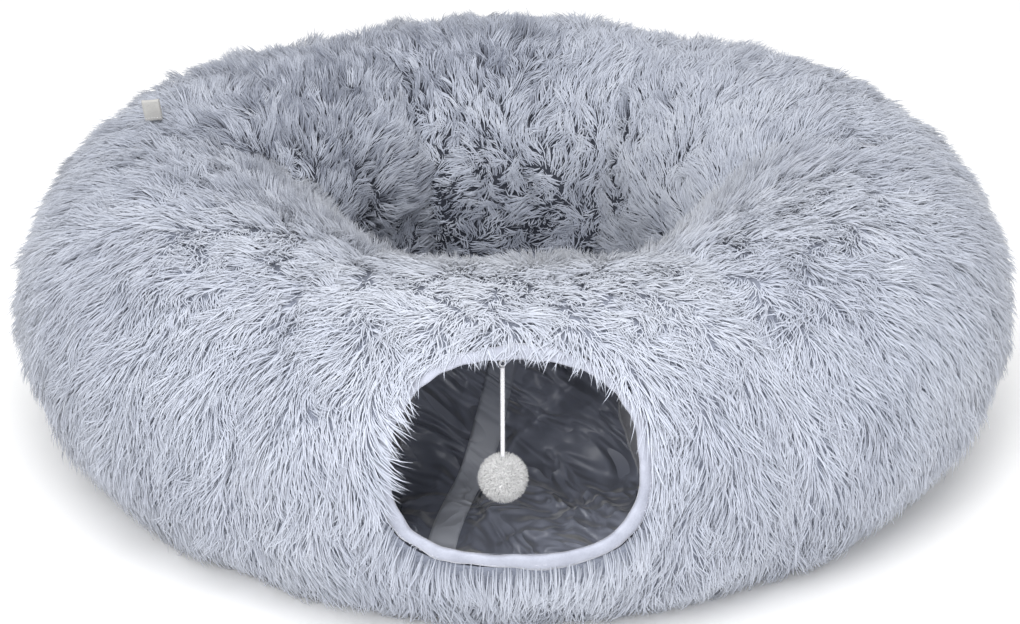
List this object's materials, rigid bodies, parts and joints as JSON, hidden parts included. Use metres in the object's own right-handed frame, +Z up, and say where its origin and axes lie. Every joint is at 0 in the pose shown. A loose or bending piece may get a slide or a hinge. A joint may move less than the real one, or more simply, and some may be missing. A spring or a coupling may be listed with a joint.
{
  "type": "donut cat tunnel",
  "caption": "Ring-shaped plush tunnel for cats: two zipped half rings with round entrances, a hanging pom-pom toy and a centre mat.",
  "frame": {"origin": "on the floor, at the centre of the ring", "axes": "+Z up along the ring's axis; -Y faces the front entrance; +X to the right as seen from the front"},
  "size_m": [0.89, 0.8984, 0.2851],
  "materials": {
    "plush": "long-pile plush, pale grey-blue tips over dark slate roots",
    "lining_satin": "creased polyester satin",
    "channel_fabric": "thin sheer polyester tape",
    "binding_tape": "brushed velvet tape",
    "zip_cloth": "woven zip tape with nylon coil teeth",
    "spring_steel": "bright spring wire",
    "zip_metal": "die-cast, nickel plated",
    "toy_cord": "braided white elastic cord",
    "pom_pom": "dense short white pile",
    "filling": "polyester wadding",
    "label_ribbon": "blank satin ribbon"
  },
  "bodies": {
    "front_half": {"cover_front_left": "plush", "cover_front_entrance": "plush", "cover_front_right": "plush", "lining_front_left": "lining_satin", "lining_front_entrance": "lining_satin", "lining_front_right": "lining_satin", "hoop_front_left_end": "spring_steel", "hoop_front_left": "spring_steel", "hoop_front_right": "spring_steel", "hoop_front_right_end": "spring_steel", "hoop_channel_front_left_end": "channel_fabric", "hoop_channel_front_left": "channel_fabric", "hoop_channel_front_right": "channel_fabric", "hoop_channel_front_right_end": "channel_fabric", "entrance_binding_front": "binding_tape", "entrance_ring_front": "spring_steel", "zip_tape_left_front": "zip_cloth", "zip_tape_right_front": "zip_cloth", "toy_tack": "toy_cord"},
    "rear_half": {"cover_rear_left": "plush", "cover_rear_entrance": "plush", "cover_rear_right": "plush", "lining_rear_left": "lining_satin", "lining_rear_entrance": "lining_satin", "lining_rear_right": "lining_satin", "hoop_rear_left_end": "spring_steel", "hoop_rear_left": "spring_steel", "hoop_rear_right": "spring_steel", "hoop_rear_right_end": "spring_steel", "hoop_channel_rear_left_end": "channel_fabric", "hoop_channel_rear_left": "channel_fabric", "hoop_channel_rear_right": "channel_fabric", "hoop_channel_rear_right_end": "channel_fabric", "entrance_binding_rear": "binding_tape", "entrance_ring_rear": "spring_steel", "zip_tape_left_rear": "zip_cloth", "zip_tape_right_rear": "zip_cloth", "label": "label_ribbon"},
    "centre_mat": {"mat_cover": "plush", "mat_base": "lining_satin", "mat_piping": "plush", "mat_filling": "filling"},
    "toy_swivel": {"toy_eye": "toy_cord"},
    "toy": {"toy_cord": "toy_cord", "toy_pom_pom": "pom_pom"},
    "slider_left": {"zip_slider_left": "zip_metal"},
    "pull_left": {"zip_pull_left": "zip_metal"},
    "slider_right": {"zip_slider_right": "zip_metal"},
    "pull_right": {"zip_pull_right": "zip_metal"}
  },
  "joints": [
    {"name": "unzip_halves", "type": "slide", "parent": "front_half", "child": "rear_half", "axis": [0, 1, 0], "range_m": [0, 0.25]},
    {"name": "mat_lift", "type": "slide", "parent": "front_half", "child": "centre_mat", "axis": [0, 0, 1], "range_m": [0, 0.32]},
    {"name": "toy_swing", "type": "hinge", "parent": "front_half", "child": "toy_swivel", "pos_m": [-0.00921, -0.37962, 0.22837], "axis": [1, 0, 0], "range_deg": [-60, 70]},
    {"name": "toy_sway", "type": "hinge", "parent": "toy_swivel", "child": "toy", "pos_m": [-0.00921, -0.37962, 0.22837], "axis": [0, 1, 0], "range_deg": [-45, 45]},
    {"name": "zip_travel_right", "type": "hinge", "parent": "front_half", "child": "slider_right", "pos_m": [0.3055, 0, 0.132], "axis": [0, 1, 0], "range_deg": [0, 300]},
    {"name": "zip_pull_flip_right", "type": "hinge", "parent": "slider_right", "child": "pull_right", "pos_m": [0.19309, 0, 0.1969], "axis": [0, 1, 0], "range_deg": [0, 165]},
    {"name": "zip_travel_left", "type": "hinge", "parent": "front_half", "child": "slider_left", "pos_m": [-0.3055, 0, 0.132], "axis": [0, -1, 0], "range_deg": [0, 300]},
    {"name": "zip_pull_flip_left", "type": "hinge", "parent": "slider_left", "child": "pull_left", "pos_m": [-0.19309, 0, 0.1969], "axis": [0, -1, 0], "range_deg": [0, 165]}
  ]
}
